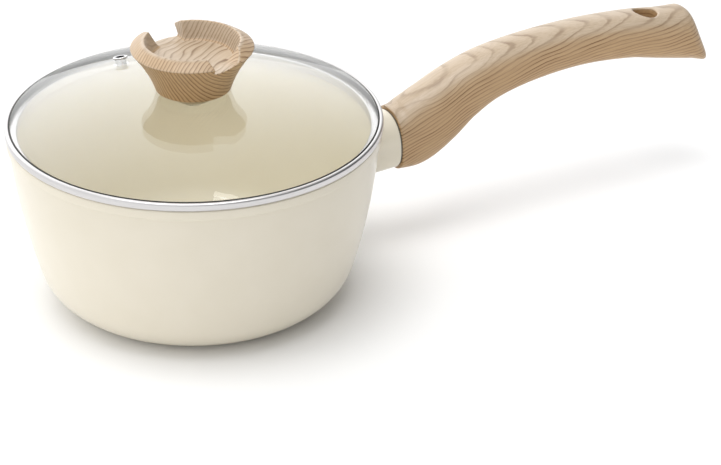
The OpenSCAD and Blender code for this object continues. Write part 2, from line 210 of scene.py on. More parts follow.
def rounded(corners, steps=5):
    """A path through (x, y, radius) corners, each one rounded by its radius."""
    path = []
    for i, (x, y, radius) in enumerate(corners):
        if radius == 0 or i in (0, len(corners) - 1):
            path.append((x, y))
            continue
        here = Vector((x, y))
        back = (Vector(corners[i - 1][:2]) - here).normalized()
        on = (Vector(corners[i + 1][:2]) - here).normalized()
        half = back.angle(on) / 2
        centre = here + (back + on).normalized() * radius / math.sin(half)
        first = here + back * radius / math.tan(half) - centre
        last = here + on * radius / math.tan(half) - centre
        turn = first.angle_signed(last)
        for k in range(steps + 1):
            a = -turn * k / steps
            path.append((
                centre.x + first.x * math.cos(a) - first.y * math.sin(a),
                centre.y + first.x * math.sin(a) + first.y * math.cos(a),
            ))
    return path


def sheet_outline(path, thickness):
    """Closed outline of a sheet of that thickness along a path, with rounded ends."""
    points = [Vector(p) for p in path]
    left, right = [], []
    for i, p in enumerate(points):
        ahead = points[min(i + 1, len(points) - 1)] - points[max(i - 1, 0)]
        side = Vector((-ahead.y, ahead.x)).normalized() * thickness / 2
        left.append(tuple(p + side))
        right.append(tuple(p - side))
    caps = []
    for p, q in ((points[-1], points[-2]), (points[0], points[1])):
        out = (p - q).normalized()
        side = Vector((-out.y, out.x))
        caps.append([tuple(p + (side * math.cos(a) + out * math.sin(a)) * thickness / 2)
                     for a in (math.pi * k / 6 for k in range(1, 6))])
    return left + caps[0] + right[::-1] + caps[1]


# ---------------------------------------------------------------- meshes


def revolve(profile, closed=False, segments=SEGMENTS):
    """Points and faces of a profile of (radius, height) points turned round the Z axis."""
    points, rings = [], []
    for r, z in profile:
        if r < 1e-6:
            rings.append([len(points)] * segments)
            points.append((0, 0, z))
        else:
            rings.append(list(range(len(points), len(points) + segments)))
            turns = (2 * math.pi * i / segments for i in range(segments))
            points += [(r * math.cos(a), r * math.sin(a), z) for a in turns]
    return points, faces_between(rings + rings[:1] if closed else rings)


def faces_between(rings):
    """Quads, or triangles at a pole, between each closed ring of point numbers and the next."""
    faces = []
    for low, high in zip(rings, rings[1:]):
        for i in range(len(low)):
            j = (i + 1) % len(low)
            corners = [low[i], low[j], high[j], high[i]]
            faces.append([c for k, c in enumerate(corners) if c not in corners[:k]])
    return faces


def piece(name, points, faces, material, body, stands_for, sharp_angle=SHARP_ANGLE):
    """A finished mesh object that rides on its CAD body and stands for its CAD node."""
    mesh = bpy.data.meshes.new(name)
    mesh.from_pydata([(x * MM, y * MM, z * MM) for x, y, z in points], [], faces)
    mesh.update()
    obj = bpy.data.objects.new(name, mesh)
    bpy.context.scene.collection.objects.link(obj)
    tidy_mesh(obj, sharp_angle)
    mesh.materials.append(material)
    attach(obj, body)
    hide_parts(stands_for)
    return obj


def tidy_mesh(obj, sharp_angle):
    """Faces point outwards and are shaded smooth, apart from edges sharper than the angle."""
    work = bmesh.new()
    work.from_mesh(obj.data)
    bmesh.ops.remove_doubles(work, verts=work.verts, dist=1e-6)
    bmesh.ops.recalc_face_normals(work, faces=work.faces)
    work.to_mesh(obj.data)
    work.free()
    obj.data.polygons.foreach_set("use_smooth", [True] * len(obj.data.polygons))
    obj.data.set_sharp_from_angle(angle=math.radians(sharp_angle))


def cut(obj, points, faces):
    """Takes a closed shape away from a piece."""
    mesh = bpy.data.meshes.new("cutter")
    mesh.from_pydata([(x * MM, y * MM, z * MM) for x, y, z in points], [], faces)
    cutter = bpy.data.objects.new("cutter", mesh)
    bpy.context.scene.collection.objects.link(cutter)
    tidy_mesh(cutter, SHARP_ANGLE)
    step = obj.modifiers.new("cut", "BOOLEAN")
    step.operation = "DIFFERENCE"
    step.solver = "EXACT"
    step.object = cutter
    graph = bpy.context.evaluated_depsgraph_get()
    result = bpy.data.meshes.new_from_object(obj.evaluated_get(graph))
    obj.modifiers.clear()
    obj.data = result
    bpy.data.objects.remove(cutter)


def smooth_max(a, b, blend):
    """The larger of two fields, with the edge between them rounded over about that width."""
    h = np.maximum(blend - np.abs(a - b), 0) / blend
    return np.maximum(a, b) + h * h * blend / 4


def surface_cells(value, axes):
    """One point in each grid cell that the surface crosses, and the quads that join them."""
    inside = value < 0
    size = [n - 1 for n in value.shape]
    count = np.zeros(size)
    total = np.zeros(size + [3])
    for axis in range(3):
        lower = [slice(None)] * 3
        upper = [slice(None)] * 3
        lower[axis] = slice(None, -1)
        upper[axis] = slice(1, None)
        v0, v1 = value[tuple(lower)], value[tuple(upper)]
        crossed = inside[tuple(lower)] != inside[tuple(upper)]
        share = np.where(crossed, v0 / np.where(crossed, v0 - v1, 1), 0)
        place = []
        for k in range(3):
            shape = [1, 1, 1]
            if k == axis:
                shape[k] = len(axes[k]) - 1
                start = axes[k][:-1].reshape(shape)
                place.append(start + share * (axes[k][1] - axes[k][0]))
            else:
                shape[k] = len(axes[k])
                place.append(np.broadcast_to(axes[k].reshape(shape), share.shape))
        others = [k for k in range(3) if k != axis]
        for da in (0, 1):
            for db in (0, 1):
                window = [slice(None)] * 3
                for k, d in zip(others, (da, db)):
                    window[k] = slice(d, len(axes[k]) - 1 + d)
                hit = crossed[tuple(window)]
                count += hit
                for k in range(3):
                    total[..., k] += np.where(hit, place[k][tuple(window)], 0)
    used = count > 0
    number = np.full(size, -1)
    number[used] = np.arange(used.sum())
    points = total[used] / count[used][:, None]
    quads = []
    for axis in range(3):
        u, w = (axis + 1) % 3, (axis + 2) % 3
        lower = [slice(None)] * 3
        upper = [slice(None)] * 3
        lower[axis] = slice(None, -1)
        upper[axis] = slice(1, None)
        first, second = inside[tuple(lower)], inside[tuple(upper)]
        for flip, crossed in ((False, first & ~second), (True, ~first & second)):
            at = np.argwhere(crossed)
            around = []
            for du, dw in ((-1, -1), (0, -1), (0, 0), (-1, 0)):
                cell = at.copy()
                cell[:, u] += du
                cell[:, w] += dw
                around.append(number[cell[:, 0], cell[:, 1], cell[:, 2]])
            quads.append(np.stack(around[::-1] if flip else around, 1))
    return points, np.concatenate(quads)


def skin(field, low, high, step):
    """Mesh of the surface on which field(x, y, z) is zero. The field is negative inside the shape."""
    axes = [np.arange(a - 2 * step, b + 3 * step, step) for a, b in zip(low, high)]
    x, y, z = np.meshgrid(*axes, indexing="ij", sparse=True)
    value = np.broadcast_to(field(x, y, z), [len(a) for a in axes])
    points, quads = surface_cells(value, axes)
    nudge = 0.02
    for _ in range(3):
        here = field(*points.T)
        slope = np.stack([
            (field(*(points + nudge * side).T) - field(*(points - nudge * side).T)) / (2 * nudge)
            for side in np.eye(3)
        ], 1)
        move = here[:, None] * slope / np.maximum((slope**2).sum(1), 1e-3)[:, None]
        length = np.linalg.norm(move, axis=1)[:, None]
        points = points - move * np.minimum(1, 0.5 * step / np.maximum(length, 1e-9))
    return points.tolist(), quads.tolist()


# ---------------------------------------------------------------- materials


class Look:
    """A material that is put together from nodes."""

    def __init__(self, name, **shader):
        self.material = bpy.data.materials.new(name)
        self.material.use_nodes = True
        self.nodes = self.material.node_tree.nodes
        self.links = self.material.node_tree.links
        self.shader = self.nodes["Principled BSDF"]
        self.set(self.shader, {k.replace("_", " "): v for k, v in shader.items()})

    def set(self, node, inputs):
        for key, value in inputs.items():
            socket = node.inputs[key]
            if isinstance(value, bpy.types.NodeSocket):
                self.links.new(value, socket)
            else:
                socket.default_value = value

    def node(self, kind, inputs=(), **settings):
        node = self.nodes.new(kind)
        for key, value in settings.items():
            setattr(node, key, value)
        self.set(node, dict(inputs))
        return node

    def math(self, operation, a, b=0.0):
        return self.node("ShaderNodeMath", {0: a, 1: b}, operation=operation).outputs[0]

    def add(self, a, b):
        return self.math("ADD", a, b)

    def minus(self, a, b):
        return self.math("SUBTRACT", a, b)

    def times(self, a, b):
        return self.math("MULTIPLY", a, b)

    def place(self, scale=(1, 1, 1)):
        coords = self.node("ShaderNodeTexCoord").outputs["Object"]
        return self.node("ShaderNodeMapping", {"Vector": coords, "Scale": scale}).outputs[0]

    def xyz(self):
        coords = self.node("ShaderNodeTexCoord").outputs["Object"]
        return self.node("ShaderNodeSeparateXYZ", {0: coords}).outputs

    def vector(self, x, y, z):
        return self.node("ShaderNodeCombineXYZ", {0: x, 1: y, 2: z}).outputs[0]

    def noise(self, vector, scale, detail=3.0, roughness=0.5):
        inputs = {"Vector": vector, "Scale": scale, "Detail": detail, "Roughness": roughness}
        return self.node("ShaderNodeTexNoise", inputs).outputs["Fac"]

    def ramp(self, value, stops):
        node = self.node("ShaderNodeValToRGB", {"Fac": value})
        elements = node.color_ramp.elements
        while len(elements) < len(stops):
            elements.new(0.5)
        for element, (position, colour) in zip(elements, stops):
            element.position = position
            element.color = (*colour, 1)
        return node.outputs["Color"]

    def length(self, x, y):
        """Length of a vector in a plane."""
        flat = self.vector(x, y, 0.0)
        return self.node("ShaderNodeVectorMath", {0: flat}, operation="LENGTH").outputs[1]

    def range(self, value, low, high, to_low, to_high):
        inputs = {"Value": value, "From Min": low, "From Max": high, "To Min": to_low, "To Max": to_high}
        return self.node("ShaderNodeMapRange", inputs).outputs[0]

    def mix(self, share, a, b, mode="MIX"):
        node = self.node("ShaderNodeMix", data_type="RGBA", blend_type=mode)
        self.set(node, {0: share, 6: a, 7: b})
        return node.outputs[2]

    def bump(self, height, distance, strength=1.0):
        node = self.node("ShaderNodeBump", {"Height": height, "Strength": strength, "Distance": distance})
        self.links.new(node.outputs[0], self.shader.inputs["Normal"])

    def colour(self, value):
        self.links.new(value, self.shader.inputs["Base Color"])

    def rough(self, value):
        self.links.new(value, self.shader.inputs["Roughness"])


def enamel_look(name, pale, deep, shine):
    """Cream enamel: a faint drift of tone and gloss, a glassy top and the fine grain of a fired coat."""
    look = Look(name, IOR=1.5, Coat_Weight=0.3, Coat_Roughness=0.10)
    drift = look.noise(look.place(), 60, detail=4)
    look.colour(look.ramp(drift, [(0.0, pale), (1.0, deep)]))
    look.rough(look.range(drift, 0.0, 1.0, shine, shine + 0.05))
    look.bump(look.noise(look.place(), 900, detail=2), 0.000004, 0.15)
    return look.material


def round_coordinates(look):
    """Turn round the axis, distance from it and height, for lines that run round a turned part."""
    x, y, z = look.xyz()
    turn = look.math("ARCTAN2", y, x)
    return turn, look.length(x, y), z


# How much a turn round the axis counts in the pattern of a brushed surface
BRUSH_STRETCH = 0.003


def brushed_look(name, tone, fine, shine):
    """Steel that was brushed round its axis."""
    look = Look(name, Metallic=1.0, Anisotropic=0.4)
    turn, radius, z = round_coordinates(look)
    drawn_out = look.vector(look.times(turn, BRUSH_STRETCH), radius, z)
    lines = look.noise(drawn_out, fine, detail=3)
    look.colour(look.ramp(lines, [(0.3, tuple(c * 0.90 for c in tone)), (0.7, tone)]))
    look.rough(look.range(lines, 0.3, 0.7, shine, shine + 0.10))
    look.bump(lines, 0.00001, 0.15)
    return look.material


def bright_look(name, tone, shine):
    """Machined bright steel or brass with faint turning marks, also used near black for the painted shade
    in the eyelet's bore.
    """
    look = Look(name, Metallic=1.0)
    marks = look.noise(look.place((1, 1, 6)), 500, detail=3)
    look.colour(look.ramp(marks, [(0.3, tuple(c * 0.85 for c in tone)), (0.7, tone)]))
    look.rough(look.range(marks, 0.3, 0.7, shine, shine + 0.15))
    look.bump(marks, 0.00001, 0.4)
    return look.material


def seal_look(name, dark, pale):
    """Rubber with a matt grain, whose colours also carry the rim seal's painted shade and painted light."""
    look = Look(name, Specular_IOR_Level=0.3)
    grain = look.noise(look.place(), 900, detail=3)
    look.colour(look.ramp(grain, [(0.3, dark), (0.7, pale)]))
    look.rough(look.range(grain, 0.3, 0.7, 0.45, 0.65))
    look.bump(grain, 0.00003, 0.5)
    return look.material


GLASS_IOR = 1.5


def glass_look():
    """Clear tempered glass that mirrors more the flatter it is looked at, with a slight ripple."""
    look = Look("clear_glass", Metallic=1.0)
    smear = look.noise(look.place(), 12, detail=2)
    look.colour(look.ramp(smear, [(0.3, (0.93, 0.94, 0.935)), (0.7, (0.97, 0.975, 0.97))]))
    look.rough(look.range(smear, 0.3, 0.7, 0.0, 0.03))
    look.bump(look.noise(look.place(), 22, detail=1), 0.00003, 0.05)
    behind = look.node("ShaderNodeNewGeometry").outputs["Backfacing"]
    bend = look.range(behind, 0.0, 1.0, GLASS_IOR, 1 / GLASS_IOR)
    look.set(look.shader, {"Alpha": look.node("ShaderNodeFresnel", {"IOR": bend}).outputs[0]})
    return look.material


def silicone_look():
    """Soft yellowish silicone that lets a little light through."""
    look = Look("clear_seal", IOR=1.41, Transmission_Weight=0.1)
    cloud = look.noise(look.place(), 300, detail=2)
    look.colour(look.ramp(cloud, [(0.3, (0.60, 0.52, 0.36)), (0.7, (0.68, 0.60, 0.44))]))
    look.rough(look.range(cloud, 0.3, 0.7, 0.35, 0.5))
    return look.material


# What a growth ring multiplies the wood's colour by, from its early edge to its late one
RING_STOPS = [
    (0.0, (0.42, 0.31, 0.21)),
    (0.08, (0.97, 0.96, 0.94)),
    (0.40, (1.0, 1.0, 1.0)),
    (0.76, (0.86, 0.82, 0.76)),
    (0.92, (0.35, 0.25, 0.16)),
    (1.0, (0.35, 0.25, 0.16)),
]


def grain_lines(look, distance, spacing):
    """Growth rings across a distance field: each one darkens slowly and ends at a sharp late edge."""
    return look.ramp(look.math("FRACT", look.math("DIVIDE", distance, spacing)), RING_STOPS)


def warp(look, vector, scale, reach, detail=1.0):
    """A smooth shift to and fro by about that reach."""
    return look.times(look.minus(look.noise(vector, scale, detail=detail), 0.5), 2 * reach)


WOOD_TOP = (0.54, 0.43, 0.315, 1)
WOOD_SIDE = (0.50, 0.325, 0.165, 1)
FIBRE_STOPS = [(0.30, (0.86, 0.83, 0.79)), (0.55, (1.0, 1.0, 1.0)), (0.75, (1.06, 1.05, 1.04))]


def finish_wood(look, lines, strength, top_share, fibre):
    """Pale top and browner sides under the lines, with fine fibres and a satin coat."""
    tone = look.mix(top_share, WOOD_SIDE, WOOD_TOP)
    tone = look.mix(1.0, tone, look.ramp(fibre, FIBRE_STOPS), "MULTIPLY")
    look.colour(look.mix(strength, tone, look.mix(1.0, tone, lines, "MULTIPLY")))
    look.rough(look.range(fibre, 0.3, 0.7, 0.46, 0.38))
    look.bump(fibre, 0.00003, 0.2)
    return look.material


def upward(look, low, high):
    """How far a surface faces up, from 0 to 1 between two values of its normal's height."""
    normal = look.node("ShaderNodeNewGeometry").outputs["Normal"]
    height = look.node("ShaderNodeSeparateXYZ", {0: normal}).outputs[2]
    node = look.node("ShaderNodeMapRange", {"Value": height, "From Min": low, "From Max": high},
                     interpolation_type="SMOOTHSTEP")
    return node.outputs[0]


# Where one layer of the grip's grain runs, in millimetres: distance from the pan's axis and height
LAYER_LINE = [
    (100, 55),
    (118, 61),
    (137, 68.5),
    (152, 76),
    (170, 83),
    (195, 90),
    (225, 95),
    (255, 98),
    (285, 99.5),
    (310, 100),
]
# Both ends of that layer and the height that its curve is measured in, in metres
LAYER_FROM = 0.100
LAYER_TO = 0.310
LAYER_SPAN = 0.110
# How much a layer sinks towards the grip's sides, and the distance from one growth ring to the next
LAYER_CROWN = 9.0
RING_GAP = 0.0021
# Keeps the distance across the layers above zero
LAYER_SHIFT = 0.2


def layer_height(look, x):
    """Height of the grain layer that starts at the middle of the grip's root, along the grip."""
    node = look.node("ShaderNodeFloatCurve", {"Value": look.range(x, LAYER_FROM, LAYER_TO, 0.0, 1.0)})
    curve = node.mapping.curves[0]
    spots = [((a * MM - LAYER_FROM) / (LAYER_TO - LAYER_FROM), b * MM / LAYER_SPAN) for a, b in LAYER_LINE]
    while len(curve.points) < len(spots):
        curve.points.new(0.5, 0.5)
    for point, spot in zip(curve.points, spots):
        point.location = spot
    node.mapping.update()
    return look.times(node.outputs[0], LAYER_SPAN)


def grip_wood():
    """The grip's layers run along its arch and come out through its top in nested loops."""
    look = Look("wood_look_grip", IOR=1.45, Coat_Weight=0.10, Coat_Roughness=0.3)
    x, y, z = look.xyz()
    layer = look.minus(z, layer_height(look, x))
    layer = look.add(layer, look.times(look.times(y, y), LAYER_CROWN))
    layer = look.add(layer, warp(look, look.vector(look.times(x, 0.5), y, z), 42, 0.0045))
    layer = look.add(layer, warp(look, look.place(), 260, 0.00025, detail=2))
    layer = look.add(layer, warp(look, look.vector(0.0, 0.0, layer), 160, 0.0016))
    lines = grain_lines(look, look.add(layer, LAYER_SHIFT), RING_GAP)
    fibre = look.noise(look.vector(look.times(x, 0.035), y, layer), 1900, detail=3, roughness=0.6)
    patch = look.noise(look.vector(look.times(x, 0.4), y, layer), 110, detail=1)
    top_share = upward(look, -0.1, 0.85)
    fainter_on_top = look.range(top_share, 0.0, 1.0, 1.0, 0.6)
    strength = look.times(look.range(patch, 0.35, 0.65, 0.4, 1.0), fainter_on_top)
    return finish_wood(look, lines, strength, top_share, fibre)


# The axis that the knob's growth rings run round, as seen from the camera, in metres: it starts at the
# front of the knob's widest edge, that far to the right, then turns to the right and falls on its way back
RING_AXIS_FRONT = -0.03
RING_AXIS_RIGHT = 0.015
RING_AXIS_TURN = 0.6
RING_AXIS_FALL = 0.35
# Distance between the wandering lines where the knob faces up
WANDER_GAP = 0.0027


def knob_rings(look, right, away, z):
    """Distance from the slanting axis of the knob's growth rings, a little uneven."""
    back = look.minus(away, RING_AXIS_FRONT)
    across = look.minus(look.minus(right, RING_AXIS_RIGHT), look.times(back, RING_AXIS_TURN))
    up = look.add(look.minus(z, (KNOB_Z + FLARE_H) * MM), look.times(back, RING_AXIS_FALL))
    ring = look.add(look.length(across, up), warp(look, look.place(), 90, 0.0010))
    return look.add(ring, warp(look, look.vector(0.0, 0.0, ring), 330, 0.0007))


def knob_wood():
    """Close rings on the knob's sides and walls, and wide wandering lines where it faces straight up.

    Where it faces down it is brown with full lines, and where it faces up it is pale with lines that fade
    in patches and towards the left. The bevelled rim is between the two.
    """
    look = Look("wood_look_knob", IOR=1.45, Coat_Weight=0.10, Coat_Roughness=0.3)
    x, y, z = look.xyz()
    right_x, right_y, _ = in_view(1, 0, 0)
    right = look.add(look.times(x, right_x), look.times(y, right_y))
    away_x, away_y, _ = in_view(0, 1, 0)
    away = look.add(look.times(x, away_x), look.times(y, away_y))
    ring = knob_rings(look, right, away, z)
    wander = look.add(look.times(ring, 0.6), warp(look, look.place(), 42, 0.009))
    level = upward(look, 0.87, 0.97)
    lines = look.mix(level, grain_lines(look, ring, RING_GAP), grain_lines(look, wander, WANDER_GAP))
    bevel = look.times(upward(look, 0.45, 0.7), look.minus(1.0, level))
    facing = look.times(upward(look, -0.25, -0.05), look.range(bevel, 0.0, 1.0, 1.0, 0.45))
    drawn_out = look.vector(ring, look.times(y, 0.1), look.times(z, 0.3))
    fibre = look.noise(drawn_out, 1700, detail=3, roughness=0.6)
    patch = look.noise(look.place(), 45, detail=1)
    fainter_left = look.range(right, -0.024, 0.004, 0.25, 1.0)
    fade = look.times(fainter_left, look.range(patch, 0.3, 0.7, 0.5, 1.0))
    strength = look.node("ShaderNodeMix", {0: facing, 2: 1.0, 3: fade}).outputs[0]
    return finish_wood(look, lines, strength, facing, fibre)


CREAM = enamel_look("cream_enamel", (0.765, 0.705, 0.585), (0.73, 0.67, 0.54), 0.29)
CERAMIC = enamel_look("cream_ceramic", (0.80, 0.75, 0.60), (0.76, 0.705, 0.545), 0.32)
BRUSHED = brushed_look("brushed_steel", (0.65, 0.635, 0.63), 1500, 0.28)
STEEL = bright_look("bright_steel", (0.76, 0.755, 0.75), 0.16)
BRASS = bright_look("insert_brass", (0.78, 0.58, 0.28), 0.22)
# Near-black metal in the eyelet's bore: painted shade of the deep narrow hole
BORE_PAINTED_SHADE = bright_look("bore_painted_shade", (0.035, 0.033, 0.03), 0.4)
# Near black on the rim's seal: painted shade, the dark line of the gap under the lip
SEAL_PAINTED_SHADE = seal_look("dark_seal", (0.012, 0.011, 0.010), (0.030, 0.028, 0.026))
# Pale grey on the seal's faces that touch the glass: painted light, a bright band seen through the glass's
# edge
SEAL_PAINTED_LIGHT = seal_look("seal_painted_light", (0.42, 0.42, 0.42), (0.50, 0.50, 0.50))
SEAM_SEAL = seal_look("seam_seal", (0.09, 0.08, 0.06), (0.14, 0.12, 0.095))
GLASS = glass_look()
SILICONE = silicone_look()
GRIP_WOOD = grip_wood()
KNOB_WOOD = knob_wood()


# ---------------------------------------------------------------- pan


def wall_curve():
    """Centre and radius of the wall's large arc, which runs from the rounded corner to the rim."""
    start_r = BASE_R + CORNER_R * math.cos(WALL_LEAN)
    start_z = CORNER_R * (1 - math.sin(WALL_LEAN))
    end_r = PAN_R - COLLAR_STEP
    chord = math.hypot(end_r - start_r, PAN_H - start_z)
    half_turn = WALL_LEAN - math.atan2(end_r - start_r, PAN_H - start_z)
    radius = chord / (2 * math.sin(half_turn))
    centre_r = start_r - radius * math.cos(WALL_LEAN)
    centre_z = start_z + radius * math.sin(WALL_LEAN)
    return centre_r, centre_z, radius


def wall_radius_at(z):
    """Outer radius of the pan's wall at a height, corner included."""
    centre_r, centre_z, radius = wall_curve()
    start_z = CORNER_R * (1 - math.sin(WALL_LEAN))
    if z >= start_z:
        return centre_r + math.sqrt(radius**2 - (z - centre_z) ** 2)
    return BASE_R + math.sqrt(max(0.0, CORNER_R**2 - (CORNER_R - z) ** 2))


def pan_profile():
    """The pan's outline, from the middle of the pocket under it to the middle of its floor."""
    centre_r, centre_z, radius = wall_curve()
    first = -WALL_LEAN
    inner_start_r = centre_r + (radius - WALL_T) * math.cos(first)
    inner_start_z = centre_z + (radius - WALL_T) * math.sin(first)
    inner_corner = (inner_start_z - FLOOR_T) / (1 - math.sin(WALL_LEAN))
    inner_corner_r = inner_start_r - inner_corner * math.cos(WALL_LEAN)
    collar_z = PAN_H - COLLAR_H
    wall_end = math.asin((collar_z - COLLAR_BLEND - centre_z) / radius)
    pocket_r = PLATE_R + POCKET_GAP
    outer = [(0, POCKET_DEPTH)]
    outer += rounded([
        (PLATE_R * 0.5, POCKET_DEPTH, 0),
        (pocket_r, POCKET_DEPTH, 0.2),
        (pocket_r, 0, 0.4),
        (BASE_R - 1, 0, 0),
    ], 4)
    outer += arc(BASE_R, CORNER_R, CORNER_R, -math.pi / 2, -WALL_LEAN, 20)
    outer += arc(centre_r, centre_z, radius, first, wall_end, 26)[1:]
    wall_r = centre_r + radius * math.cos(wall_end)
    collar = rounded([
        (wall_r, collar_z - COLLAR_BLEND, 0),
        (wall_r + 0.1, collar_z - 0.3, 0.5),
        (PAN_R, collar_z + 0.3, 0.7),
        (PAN_R, PAN_H, 1.0),
        (PAN_R - WALL_T - 0.3, PAN_H, 0.9),
        (PAN_R - WALL_T - COLLAR_STEP - 0.1, PAN_H - COLLAR_INSIDE, 0),
    ], 6)
    inner = arc(centre_r, centre_z, radius - WALL_T, wall_end, first, 26)[1:]
    inner += arc(inner_corner_r, FLOOR_T + inner_corner, inner_corner, -WALL_LEAN, -math.pi / 2, 16)[1:]
    return outer + collar[1:-1] + inner + [(inner_corner_r * 0.5, FLOOR_T), (0, FLOOR_T)]


def make_pan():
    """The pan, cream outside and over its rim, with a paler ceramic coat inside."""
    points, faces = revolve(pan_profile())
    pan = piece("pan", points, faces, CREAM, "pan", "pan_body")
    pan.data.materials.append(CERAMIC)
    for face in pan.data.polygons:
        centre = face.center / MM
        reach = math.hypot(centre.x, centre.y)
        outside = wall_radius_at(min(centre.z, PAN_H - COLLAR_H - 2)) - WALL_T / 2
        if centre.z > POCKET_DEPTH + 1 and reach < outside and centre.z < PAN_H - INNER_COAT_END:
            face.material_index = 1
    return pan


# ---------------------------------------------------------------- handle


def root_point(along, side, up):
    """A point in the frame of the handle's root, whose X axis runs along the flame guard."""
    c, s = math.cos(ROOT_TILT), math.sin(ROOT_TILT)
    return SEAM_X + along * c - up * s, side, ROOT_Z + along * s + up * c


def bulge(v):
    """A sine or cosine bent so that the oval is a little fuller than an ellipse."""
    return math.copysign(abs(v) ** (2 / OVAL_POWER), v)


def wall_distance(side, up):
    """How far before the seam a line along the guard meets the pan's wall."""
    near, far = -32.0, 0.0
    for _ in range(40):
        middle = (near + far) / 2
        x, y, z = root_point(middle, side, up)
        if math.hypot(x, y) < wall_radius_at(z) + 0.1:
            near = middle
        else:
            far = middle
    return far


def make_guard():
    """Oval sleeve, scribed to the pan's wall, with a rounded lip at the seam."""
    around = 128
    lip = -0.6
    round_off = 0.5
    points, rings = [], []
    steps = [k / 14 for k in range(15)]
    quarter = [math.pi / 2 * k / 4 for k in range(1, 5)]
    lip_arc = [(round_off * (1 - math.cos(a)), round_off * math.sin(a)) for a in quarter]
    loops = [("line", u, 0) for u in steps]
    loops += [("lip", o, i) for i, o in lip_arc]
    loops += [("lip", o, GUARD_T - i) for i, o in lip_arc[::-1]]
    loops += [("line", u, GUARD_T) for u in steps[::-1]]
    for kind, value, inset in loops:
        ring = []
        for k in range(around):
            a = 2 * math.pi * k / around
            side = (GUARD_W / 2 - inset) * bulge(math.cos(a))
            up = (GUARD_H / 2 - inset) * bulge(math.sin(a))
            end = lip - round_off
            start = wall_distance(side, up)
            along = start + (end - start) * value if kind == "line" else end + value
            ring.append(len(points))
            points.append(root_point(along, side, up))
        rings.append(ring)
    faces = faces_between(rings + rings[:1])
    return piece("flame_guard", points, faces, CREAM, "pan", "flame_guard")


def spline(values, t):
    """Catmull-Rom curve through rows of values, at t counted in rows."""
    i = min(int(t), len(values) - 2)
    u = t - i
    p0, p1, p2 = values[max(i - 1, 0)], values[i], values[i + 1]
    p3 = values[min(i + 2, len(values) - 1)]
    if i == 0:
        # The first stretch starts along the handle's root
        x = 2 * p1[0] - p2[0]
        p0 = (x, p2[1] - (p2[0] - x) * math.tan(ROOT_TILT), p1[2], p1[3])
    return [
        0.5 * (2 * b + (c - a) * u + (2 * a - 5 * b + 4 * c - d) * u * u + (3 * b - a - 3 * c + d) * u**3)
        for a, b, c, d in zip(p0, p1, p2, p3)
    ]


def grip_table():
    """Rows of x, height, slope, thickness and width along the grip, run on a little past both ends."""
    last = len(GRIP_STATIONS) - 1
    steps = 240
    rows = np.array([spline(GRIP_STATIONS, last * k / steps) for k in range(steps + 1)])
    slope = np.gradient(rows[:, 1], rows[:, 0])
    flare = np.gradient(rows[:, 2], rows[:, 0])
    table = np.column_stack([rows[:, 0], rows[:, 1], slope, rows[:, 2], rows[:, 3]])
    out = 30.0
    before = table[0] - out * np.array([1, slope[0], 0, 0, 0])
    after = table[-1] + out * np.array([1, slope[-1], 0, flare[-1], 0])
    return np.vstack([before, table, after])


def grip_field(x, y, z):
    """Field of the grip: its swept section, its rounded far end, and its holes."""
    table = GRIP_TABLE
    end_x = GRIP_STATIONS[-1][0]
    power = OVAL_POWER
    # Steps towards the station whose leaning plane holds the point
    u = x + 0 * z
    for _ in range(24):
        height, slope = (np.interp(u, table[:, 0], table[:, k]) for k in (1, 2))
        share = np.clip((u - GRIP_RAKE_FROM) / (end_x - GRIP_RAKE_FROM), 0, 1)
        lean = slope + GRIP_RAKE * share**2 * np.sqrt(1 + slope**2)
        u = 0.4 * u + 0.6 * (x + (z - height) * lean)
    height, slope, thick, wide = (np.interp(u, table[:, 0], table[:, k]) for k in (1, 2, 3, 4))
    tall = np.abs(z - height) * np.sqrt(1 + slope**2) * 2 / thick
    side = np.abs(y) * 2 / wide
    body = ((tall**power + side**power) ** (1 / power) - 1) * np.minimum(thick, wide) / 2
    out = np.maximum((u - end_x) * np.sqrt(1 + slope**2), 0) / GRIP_CAP
    plan = ((side**GRIP_END_POWER + out**2) ** 0.5 - 1) * GRIP_CAP
    solid = smooth_max(body, plan, GRIP_END_ROUND)
    c, s = math.cos(ROOT_TILT), math.sin(ROOT_TILT)
    along = (x - SEAM_X) * c + (z - ROOT_Z) * s
    up = (z - ROOT_Z) * c - (x - SEAM_X) * s
    solid = smooth_max(solid, SEAM_GAP - along, SEAM_ROUND)
    socket_side = np.abs(y) - BRACKET_W / 2 - SOCKET_PLAY
    socket_top = np.abs(up) - BRACKET_H / 2 - SOCKET_PLAY
    socket = np.maximum(np.maximum(socket_side, socket_top), along - SOCKET_DEPTH)
    reach = np.sqrt(y**2 + up**2)
    bore = np.maximum(reach - SCREW_BORE_R, along - SCREW_SEAT - 1)
    access = np.maximum(reach - SCREW_ACCESS_R, SCREW_SEAT - along)
    hang = np.sqrt((x - HANG_X) ** 2 + y**2) - HANG_R
    solid = np.maximum(np.maximum(solid, -socket), -bore)
    solid = smooth_max(solid, -access, ACCESS_ROUND)
    return smooth_max(solid, -hang, HANG_ROUND)


GRIP_TABLE = grip_table()


def make_grip():
    """The arched grip, as a mesh of its field."""
    low, high = node_box("handle_grip")
    points, faces = skin(grip_field, low, high, GRIP_MESH_STEP)
    return piece("grip", points, faces, GRIP_WOOD, "pan", "handle_grip", WOOD_SHARP_ANGLE)


# ---------------------------------------------------------------- lid


def make_lid_rim():
    """Steel sheet bent round the glass: lip, band, underside and the skirt that dips into the pan."""
    half = RIM_SHEET / 2
    path = rounded([
        (LIP_R + half, BAND_TOP - half, 0),
        (LID_R - half, BAND_TOP - half, 0.9),
        (LID_R - half, BAND_LOW + half, 0.5),
        (SKIRT_R - half, BAND_LOW + half, 0.6),
        (SKIRT_R - half, SKIRT_LOW + half, 0),
    ], 7)
    points, faces = revolve(sheet_outline(path, RIM_SHEET), closed=True)
    return piece("lid_rim", points, faces, BRUSHED, "lid", "lid_rim")


